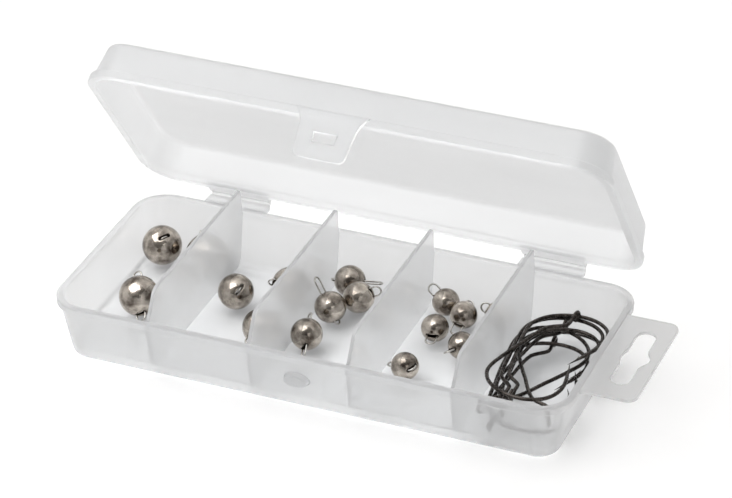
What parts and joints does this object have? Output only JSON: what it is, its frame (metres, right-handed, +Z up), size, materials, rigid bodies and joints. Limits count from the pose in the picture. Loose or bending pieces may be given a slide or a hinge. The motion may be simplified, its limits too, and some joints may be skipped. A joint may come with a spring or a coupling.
{
  "type": "jig head kit",
  "caption": "Hinged compartment box of translucent plastic with slotted ball jig heads, their wire clips and offset worm hooks; lid, latch and heads move.",
  "frame": {"origin": "centre of the tray's underside, in the plane it stands on", "axes": "+X along the tray towards the hang tab, +Y towards the hinge, +Z up"},
  "size_m": [0.193, 0.0888, 0.0945],
  "materials": {
    "frosted_tray": "frosted translucent polypropylene",
    "clear_lid": "frosted translucent polypropylene, a little clearer",
    "lead_weight": "polished, nickel plated lead",
    "spring_wire": "bright spring wire",
    "black_nickel": "black nickel plated steel"
  },
  "bodies": {
    "tray": {"tray_shell": "frosted_tray", "divider_1": "frosted_tray", "divider_2": "frosted_tray", "divider_3": "frosted_tray", "divider_4": "frosted_tray", "latch_catch": "frosted_tray", "hang_tab": "frosted_tray", "tray_strap_left": "frosted_tray", "hinge_film_left": "frosted_tray", "tray_strap_right": "frosted_tray", "hinge_film_right": "frosted_tray"},
    "lid": {"lid_shell": "clear_lid", "lid_strap_left": "clear_lid", "lid_strap_right": "clear_lid"},
    "latch": {"latch_flap": "clear_lid"},
    "head_14g_1": {"ball_14g_1": "lead_weight"},
    "clip_14g_1": {"clip_14g_1": "spring_wire"},
    "head_14g_2": {"ball_14g_2": "lead_weight"},
    "clip_14g_2": {"clip_14g_2": "spring_wire"},
    "head_14g_3": {"ball_14g_3": "lead_weight"},
    "clip_14g_3": {"clip_14g_3": "spring_wire"},
    "head_10g_1": {"ball_10g_1": "lead_weight"},
    "clip_10g_1": {"clip_10g_1": "spring_wire"},
    "head_10g_2": {"ball_10g_2": "lead_weight"},
    "clip_10g_2": {"clip_10g_2": "spring_wire"},
    "head_10g_3": {"ball_10g_3": "lead_weight"},
    "clip_10g_3": {"clip_10g_3": "spring_wire"},
    "head_7g_1": {"ball_7g_1": "lead_weight"},
    "clip_7g_1": {"clip_7g_1": "spring_wire"},
    "head_7g_2": {"ball_7g_2": "lead_weight"},
    "clip_7g_2": {"clip_7g_2": "spring_wire"},
    "head_7g_3": {"ball_7g_3": "lead_weight"},
    "clip_7g_3": {"clip_7g_3": "spring_wire"},
    "head_7g_4": {"ball_7g_4": "lead_weight"},
    "clip_7g_4": {"clip_7g_4": "spring_wire"},
    "head_5g_1": {"ball_5g_1": "lead_weight"},
    "clip_5g_1": {"clip_5g_1": "spring_wire"},
    "head_5g_2": {"ball_5g_2": "lead_weight"},
    "clip_5g_2": {"clip_5g_2": "spring_wire"},
    "head_5g_3": {"ball_5g_3": "lead_weight"},
    "clip_5g_3": {"clip_5g_3": "spring_wire"},
    "head_5g_4": {"ball_5g_4": "lead_weight"},
    "clip_5g_4": {"clip_5g_4": "spring_wire"},
    "head_5g_5": {"ball_5g_5": "lead_weight"},
    "clip_5g_5": {"clip_5g_5": "spring_wire"},
    "head_5g_6": {"ball_5g_6": "lead_weight"},
    "clip_5g_6": {"clip_5g_6": "spring_wire"},
    "hook_bundle": {"offset_hook_1": "black_nickel", "offset_hook_2": "black_nickel", "offset_hook_3": "black_nickel", "offset_hook_4": "black_nickel", "offset_hook_5": "black_nickel", "offset_hook_6": "black_nickel", "offset_hook_7": "black_nickel", "offset_hook_8": "black_nickel", "offset_hook_9": "black_nickel"}
  },
  "joints": [
    {"name": "lid_hinge", "type": "hinge", "parent": "tray", "child": "lid", "pos_m": [0, 0.04375, 0.02235], "axis": [-1, 0, 0], "range_deg": [-53.4, 126.6]},
    {"name": "latch_flex", "type": "hinge", "parent": "lid", "child": "latch", "pos_m": [-0.001, -0.00442, 0.09065], "axis": [-1, 0, 0], "range_deg": [0, 15], "stiffness_Nm_per_rad": 0.005},
    {"name": "lift_14g_1", "type": "slide", "parent": "tray", "child": "head_14g_1", "axis": [0, 0, 1], "range_m": [0, 0.0165]},
    {"name": "clip_slide_14g_1", "type": "slide", "parent": "head_14g_1", "child": "clip_14g_1", "axis": [0.361, -0.4458, 0.8192], "range_m": [0, 0.002]},
    {"name": "lift_14g_2", "type": "slide", "parent": "tray", "child": "head_14g_2", "axis": [0, 0, 1], "range_m": [0, 0.017]},
    {"name": "clip_slide_14g_2", "type": "slide", "parent": "head_14g_2", "child": "clip_14g_2", "axis": [-0.4156, 0.7497, 0.515], "range_m": [-0.002, 0.002]},
    {"name": "lift_14g_3", "type": "slide", "parent": "tray", "child": "head_14g_3", "axis": [0, 0, 1], "range_m": [0, 0.017]},
    {"name": "clip_slide_14g_3", "type": "slide", "parent": "head_14g_3", "child": "clip_14g_3", "axis": [-0.509, 0.7006, 0.5], "range_m": [-0.002, 0.002]},
    {"name": "lift_10g_1", "type": "slide", "parent": "tray", "child": "head_10g_1", "axis": [0, 0, 1], "range_m": [0, 0.0185]},
    {"name": "clip_slide_10g_1", "type": "slide", "parent": "head_10g_1", "child": "clip_10g_1", "axis": [0.524, -0.6027, 0.6018], "range_m": [0, 0.002]},
    {"name": "lift_10g_2", "type": "slide", "parent": "tray", "child": "head_10g_2", "axis": [0, 0, 1], "range_m": [0, 0.0185]},
    {"name": "clip_slide_10g_2", "type": "slide", "parent": "head_10g_2", "child": "clip_10g_2", "axis": [-0.802, -0.5208, 0.2924], "range_m": [-0.00025, 0.002]},
    {"name": "lift_10g_3", "type": "slide", "parent": "tray", "child": "head_10g_3", "axis": [0, 0, 1], "range_m": [0, 0.0185]},
    {"name": "clip_slide_10g_3", "type": "slide", "parent": "head_10g_3", "child": "clip_10g_3", "axis": [0.0858, 0.9811, 0.1736], "range_m": [-0.002, 0.002]},
    {"name": "lift_7g_1", "type": "slide", "parent": "tray", "child": "head_7g_1", "axis": [0, 0, 1], "range_m": [0, 0.0195]},
    {"name": "clip_slide_7g_1", "type": "slide", "parent": "head_7g_1", "child": "clip_7g_1", "axis": [0.9607, 0.2755, -0.0349], "range_m": [-0.00025, 0.001]},
    {"name": "lift_7g_2", "type": "slide", "parent": "tray", "child": "head_7g_2", "axis": [0, 0, 1], "range_m": [0, 0.019]},
    {"name": "clip_slide_7g_2", "type": "slide", "parent": "head_7g_2", "child": "clip_7g_2", "axis": [0.8695, 0.1533, 0.4695], "range_m": [-0.0005, 0.002]},
    {"name": "lift_7g_3", "type": "slide", "parent": "tray", "child": "head_7g_3", "axis": [0, 0, 1], "range_m": [0, 0.016]},
    {"name": "clip_slide_7g_3", "type": "slide", "parent": "head_7g_3", "child": "clip_7g_3", "axis": [-0.5826, 0.2717, 0.766], "range_m": [-0.0005, 0.00025]},
    {"name": "lift_7g_4", "type": "slide", "parent": "tray", "child": "head_7g_4", "axis": [0, 0, 1], "range_m": [0, 0.0195]},
    {"name": "clip_slide_7g_4", "type": "slide", "parent": "head_7g_4", "child": "clip_7g_4", "axis": [-0.2193, 0.8794, 0.4226], "range_m": [-0.00125, 0.002]},
    {"name": "lift_5g_1", "type": "slide", "parent": "tray", "child": "head_5g_1", "axis": [0, 0, 1], "range_m": [0, 0.02]},
    {"name": "clip_slide_5g_1", "type": "slide", "parent": "head_5g_1", "child": "clip_5g_1", "axis": [-0.7821, 0.096, 0.6157], "range_m": [-0.00025, 0.00025]},
    {"name": "lift_5g_2", "type": "slide", "parent": "tray", "child": "head_5g_2", "axis": [0, 0, 1], "range_m": [0, 0.021]},
    {"name": "clip_slide_5g_2", "type": "slide", "parent": "head_5g_2", "child": "clip_5g_2", "axis": [-0.0802, -0.917, -0.3907], "range_m": [-0.002, 0.0015]},
    {"name": "lift_5g_3", "type": "slide", "parent": "tray", "child": "head_5g_3", "axis": [0, 0, 1], "range_m": [0, 0.021]},
    {"name": "clip_slide_5g_3", "type": "slide", "parent": "head_5g_3", "child": "clip_5g_3", "axis": [0.1381, -0.9829, -0.1219], "range_m": [-0.002, 0.0015]},
    {"name": "lift_5g_4", "type": "slide", "parent": "tray", "child": "head_5g_4", "axis": [0, 0, 1], "range_m": [0, 0.021]},
    {"name": "clip_slide_5g_4", "type": "slide", "parent": "head_5g_4", "child": "clip_5g_4", "axis": [0.5, 0.866, 0], "range_m": [-0.002, 0.002]},
    {"name": "lift_5g_5", "type": "slide", "parent": "tray", "child": "head_5g_5", "axis": [0, 0, 1], "range_m": [0, 0.021]},
    {"name": "clip_slide_5g_5", "type": "slide", "parent": "head_5g_5", "child": "clip_5g_5", "axis": [0.7881, -0.5118, 0.342], "range_m": [-0.00075, 0.002]},
    {"name": "lift_5g_6", "type": "slide", "parent": "tray", "child": "head_5g_6", "axis": [0, 0, 1], "range_m": [0, 0.021]},
    {"name": "clip_slide_5g_6", "type": "slide", "parent": "head_5g_6", "child": "clip_5g_6", "axis": [-0.9062, -0.0158, 0.4226], "range_m": [-0.00075, 0.002]},
    {"name": "lift_hooks", "type": "slide", "parent": "tray", "child": "hook_bundle", "axis": [0, 0, 1], "range_m": [0, 0.0145]}
  ]
}
